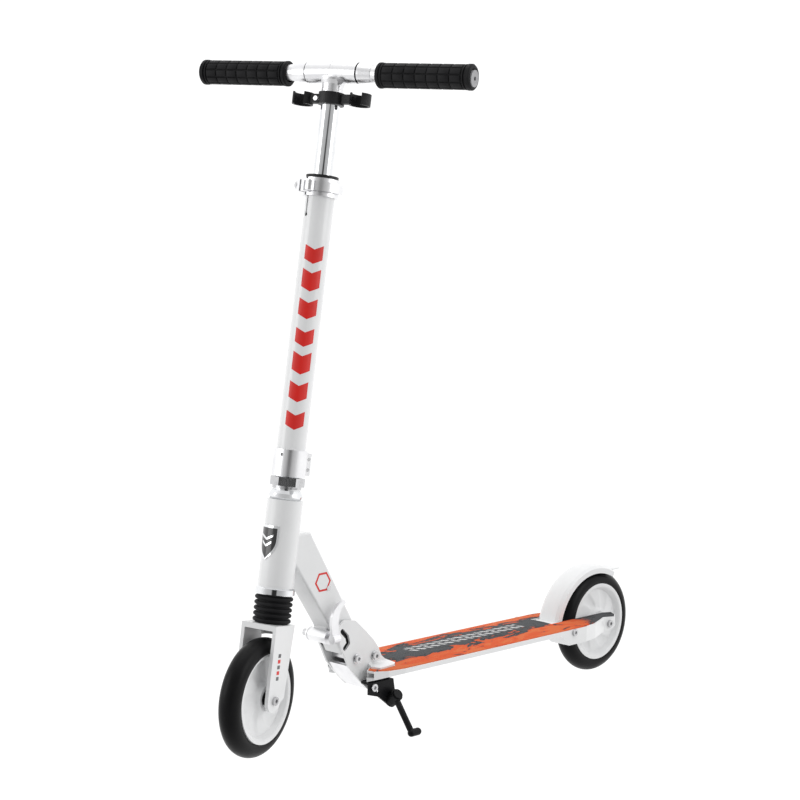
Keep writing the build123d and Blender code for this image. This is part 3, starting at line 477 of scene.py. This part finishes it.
class OBJECT_OT_scooter_grips(bpy.types.Operator):
    """Build the rubber grips with their blocks and end collars"""
    bl_idname = "object.scooter_grips"
    bl_label = "Grips"

    def execute(self, context):
        sizes = context.scene.scooter_sizes
        for side in ("left", "right"):
            low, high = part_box("grip_" + side)
            axis = joint_axis(side + "_bar_pull")
            place = basis((low + high) / 2, AXIS, axis)
            verts, faces = self.grip(sizes)
            grip = new_piece("rubber_grip_" + side, verts, faces, side + "_bar", MATERIALS["rubber"],
                             place)
            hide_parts("grip_" + side)
        return {"FINISHED"}

    def grip(self, sizes):
        """Sleeve whose outline steps at collars and grooves, cut lengthways between the blocks."""
        mm, half = 0.001, sizes.grip_length / 2
        top, groove = sizes.grip_radius, sizes.grip_radius - 2.2 * mm
        first, last = -half + 11 * mm, half - 13 * mm
        pitch = (last - first) / sizes.grip_columns
        outline = [(sizes.bar_radius, -half), (top - 1.5 * mm, -half), (top, -half + 1.5 * mm),
                   (top, -half + 5 * mm),
                   (groove, -half + 6 * mm), (groove, -half + 7.5 * mm), (top - 0.6 * mm, -half + 8.2 * mm),
                   (top - 0.6 * mm, -half + 9.6 * mm), (groove, -half + 10.2 * mm)]
        blocks = []
        for k in range(sizes.grip_columns):
            start, stop = first + pitch * k + 0.7 * mm, first + pitch * (k + 1) - 0.7 * mm
            blocks += [(groove, start - 0.2 * mm), (top - 1.0 * mm, start + 0.3 * mm),
                       (top - 0.7 * mm, start + 1.2 * mm), (top - 0.7 * mm, stop - 1.2 * mm),
                       (top - 1.0 * mm, stop - 0.3 * mm), (groove, stop + 0.2 * mm)]
        outline += blocks
        outline += [(groove, half - 12 * mm), (top - 0.6 * mm, half - 11.5 * mm),
                    (top - 0.6 * mm, half - 9.8 * mm), (groove, half - 9.2 * mm), (groove, half - 7.8 * mm),
                    (top, half - 7 * mm), (top, half - 2 * mm),
                    (top - 2 * mm, half), (sizes.bar_radius, half)]
        per_block = 12
        steps = sizes.grip_rows * per_block
        verts, faces = lathe(outline, steps)
        count = len(outline)
        out = []
        for index, (x, y, z) in enumerate(verts):
            step, spot = divmod(index, count)
            radius = sqrt(x * x + z * z)
            inside = first < y < last and radius > groove + 0.1 * mm
            if inside and step % per_block in (0, 11):
                x, z = x * groove / radius, z * groove / radius
            out.append((x, y, z))
        return out, faces


class OBJECT_OT_scooter_marks(bpy.types.Operator):
    """Lay the printed bars, the head badge and the small stickers"""
    bl_idname = "object.scooter_marks"
    bl_label = "Marks"

    def execute(self, context):
        sizes = context.scene.scooter_sizes
        self.column_bars(sizes)
        self.head_badge(sizes)
        self.stickers()
        return {"FINISHED"}

    def column_bars(self, sizes):
        """Seven red chevron blocks up the left front of the column."""
        low, high, count = 0.401, 0.690, 7
        pitch = (high - low) / count
        middle, half_turn, rise, steps = radians(32), radians(38), 0.007, 12
        turns = [half_turn * (2 * j / steps - 1) for j in range(steps + 1)]
        for k in range(count):
            base = low + pitch * k
            tall = pitch * (0.52 + 0.07 * (k % 3))
            lower = [(middle + a, base + rise * abs(a) / half_turn) for a in turns]
            upper = [(a, height + tall) for a, height in reversed(lower)]
            verts, faces = bent_strip(lower + upper, sizes.column_radius + 0.00003, 0.00012)
            new_piece(f"column_bar_{k}", verts, faces, "steering", MATERIALS["red_print"], FRONT)

    def head_badge(self, sizes):
        """Shield with a bright rim and a plain raised chevron, bent round the head tube."""
        centre, wide, tall = 0.2305, 0.0185, 0.0262
        radius = sizes.head_radius

        def rows(scale, steps=14):
            """Half-width of the shield at each height."""
            made = []
            for j in range(steps + 1):
                t = j / steps
                height = -tall * scale + 2 * tall * scale * t
                lower = min(1.0, t / 0.62)
                width = wide * scale * (1 - (1 - lower) ** 2.1)
                made.append((max(width, 0.0003), height))
            return made

        def plate(name, scale, low, high, material):
            verts, faces = [], []
            across = 8
            table = rows(scale)
            for r in (low, high):
                for width, height in table:
                    for i in range(across + 1):
                        a = (width / radius) * (2 * i / across - 1)
                        verts.append((r * cos(a), r * sin(a), centre + height))
            line = across + 1
            layer = line * len(table)
            for j in range(len(table) - 1):
                for i in range(across):
                    a = j * line + i
                    faces += [(a, a + line, a + line + 1, a + 1),
                              (layer + a, layer + a + 1, layer + a + line + 1, layer + a + line)]
            rim = [i for i in range(line)]
            rim += [j * line + across for j in range(1, len(table))]
            rim += [(len(table) - 1) * line + i for i in range(across - 1, -1, -1)]
            rim += [j * line for j in range(len(table) - 2, 0, -1)]
            for a, b in zip(rim, rim[1:] + rim[:1]):
                faces.append((a, b, layer + b, layer + a))
            return new_piece(name, verts, faces, "neck_frame", MATERIALS[material], NECK)

        rim = plate("badge_rim", 1.0, radius + 0.00005, radius + 0.0009, "chrome")
        plate("badge_field", 0.86, radius + 0.0001, radius + 0.00115, "badge")
        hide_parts("head_badge")
        for k, (base, reach) in enumerate(((-0.006, 0.0088), (0.004, 0.0112))):
            turns = [reach / radius * (2 * j / 8 - 1) for j in range(9)]
            lower = [(a, centre + base + 0.006 * abs(a) * radius / reach) for a in turns]
            upper = [(a, z + 0.0034) for a, z in reversed(lower)]
            verts, faces = bent_strip(lower + upper, radius + 0.0008, 0.0010)
            new_piece(f"badge_chevron_{k}", verts, faces, "neck_frame", MATERIALS["chrome"], NECK)

    def stickers(self):
        """Plain ringed sticker on the neck and small dashes on the fork legs."""
        neck_half, leg_out = 0.0205, 0.030
        for side in (1, -1):
            outer = ring_points(0.0165, 6, radians(58), 0.283, 0.251)
            inner = ring_points(0.0130, 6, radians(58), 0.283, 0.251)
            low, high = sorted((side * neck_half, side * (neck_half + 0.00018)))
            verts, faces = flat_plate(outer, low, high)
            new_piece(f"neck_sticker_{'left' if side > 0 else 'right'}", verts, faces, "neck_frame",
                      MATERIALS["red_print"], DECK)
            verts, faces = flat_plate(inner, *sorted((side * neck_half, side * (neck_half + 0.0003))))
            new_piece(f"neck_sticker_field_{'left' if side > 0 else 'right'}", verts, faces, "neck_frame",
                      MATERIALS["white_plastic"], DECK)
            rivet_faces = sorted((side * neck_half, side * 0.0212))
            verts, faces = flat_plate(ring_points(0.0042, 20, 0.0, 0.2705, 0.2400), *rivet_faces)
            new_piece(f"neck_rivet_{'left' if side > 0 else 'right'}", verts, faces, "neck_frame",
                      MATERIALS["zinc"], DECK)
            for k in range(5):
                z = 0.030 + 0.0085 * k
                outline = [(0.0115, z), (0.0185, z), (0.0185, z + 0.0055), (0.0115, z + 0.0055)]
                verts, faces = flat_plate(outline, *sorted((side * leg_out, side * (leg_out + 0.0002))))
                tint = "red_print" if k % 2 else "grey_print"
                new_piece(f"fork_dash_{'left' if side > 0 else 'right'}_{k}", verts, faces, "fork_body",
                          MATERIALS[tint], FRONT)


class OBJECT_OT_scooter_studio(bpy.types.Operator):
    """Set the lights and the camera"""
    bl_idname = "object.scooter_studio"
    bl_label = "Studio"

    def execute(self, context):
        scene = context.scene
        self.world(scene)
        for name, place, size, power in (
                ("left_panel", (-0.9, 2.6, 1.3), 1.6, 16.0), ("right_panel", (2.6, -1.1, 1.2), 1.6, 16.0),
                ("top_panel", (-0.2, 0.2, 3.0), 2.4, 16.0)):
            self.panel(name, GROUND + Vector(place), size, power)
        self.camera(scene)
        return {"FINISHED"}

    def world(self, scene):
        """Bright all round, dimmer with a dark card behind the camera, white where the camera sees it."""
        world = bpy.data.worlds.new("studio")
        scene.world = world
        world.use_nodes = True
        tree = world.node_tree
        back = tree.nodes["Background"]
        place = tree.nodes.new("ShaderNodeTexCoord")
        aim = add(tree, "ShaderNodeVectorMath", operation="DOT_PRODUCT")
        aim.inputs[1].default_value = (cos(radians(44.5)), sin(radians(44.5)), 0.0)
        tree.links.new(place.outputs["Generated"], aim.inputs[0])
        near = aim.outputs["Value"]
        light = ramp(tree, near, -0.1, 0.95, 1.12, 0.50)
        card = math_node(tree, "MULTIPLY", ramp(tree, near, 0.950, 0.985), 0.47)
        level = math_node(tree, "SUBTRACT", light, card)
        path = tree.nodes.new("ShaderNodeLightPath")
        seen = math_node(tree, "MAXIMUM", level, path.outputs["Is Camera Ray"])
        tree.links.new(seen, back.inputs["Strength"])
        back.inputs["Color"].default_value = (1.0, 1.0, 1.0, 1.0)

    def panel(self, name, place, size, power):
        light = bpy.data.lights.new(name, "AREA")
        light.shape = "SQUARE"
        light.size = size
        light.energy = power
        lamp = bpy.data.objects.new(name, light)
        bpy.context.scene.collection.objects.link(lamp)
        aim = GROUND + Vector((0.0, 0.0, 0.45)) - place
        lamp.matrix_world = Matrix.Translation(place) @ aim.to_track_quat("-Z", "Y").to_matrix().to_4x4()

    def camera(self, scene):
        heading, pitch, roll = radians(224.51), radians(-3.42), radians(-1.26)
        forward = Vector((cos(pitch) * cos(heading), cos(pitch) * sin(heading), sin(pitch)))
        right = forward.cross(Vector((0, 0, 1))).normalized()
        up = right.cross(forward)
        tilted = right * cos(roll) + up * sin(roll)
        up = tilted.cross(forward)
        data = bpy.data.cameras.new("camera")
        data.sensor_width = 36.0
        data.lens = 82.27
        data.clip_end = 100.0
        camera = bpy.data.objects.new("camera", data)
        scene.collection.objects.link(camera)
        turn = Matrix((tilted, up, -forward)).transposed().to_4x4()
        camera.matrix_world = Matrix.Translation(GROUND + Vector((2.1578, 2.0490, 0.6876))) @ turn
        scene.camera = camera
        scene.view_settings.view_transform = "Standard"


class VIEW3D_PT_scooter(bpy.types.Panel):
    """Lists the scooter's operators and settings"""
    bl_label = "Scooter"
    bl_idname = "VIEW3D_PT_scooter"
    bl_space_type = "VIEW_3D"
    bl_region_type = "UI"
    bl_category = "Scooter"

    def draw(self, context):
        layout = self.layout
        for settings in (context.scene.scooter_finish, context.scene.scooter_sizes):
            for key in settings.__annotations__:
                layout.prop(settings, key)
        for operator in OPERATORS:
            layout.operator(operator.bl_idname)


OPERATORS = (OBJECT_OT_scooter_finishes, OBJECT_OT_scooter_wheels, OBJECT_OT_scooter_grips,
             OBJECT_OT_scooter_marks, OBJECT_OT_scooter_studio)
CLASSES = (ScooterFinish, ScooterSizes) + OPERATORS + (VIEW3D_PT_scooter,)


def register():
    for item in CLASSES:
        bpy.utils.register_class(item)
    bpy.types.Scene.scooter_finish = bpy.props.PointerProperty(type=ScooterFinish)
    bpy.types.Scene.scooter_sizes = bpy.props.PointerProperty(type=ScooterSizes)


def unregister():
    del bpy.types.Scene.scooter_sizes
    del bpy.types.Scene.scooter_finish
    for item in reversed(CLASSES):
        bpy.utils.unregister_class(item)


def main():
    register()
    bpy.ops.object.scooter_finishes()
    bpy.ops.object.scooter_wheels()
    bpy.ops.object.scooter_grips()
    bpy.ops.object.scooter_marks()
    bpy.ops.object.scooter_studio()


if __name__ == "__main__":
    main()
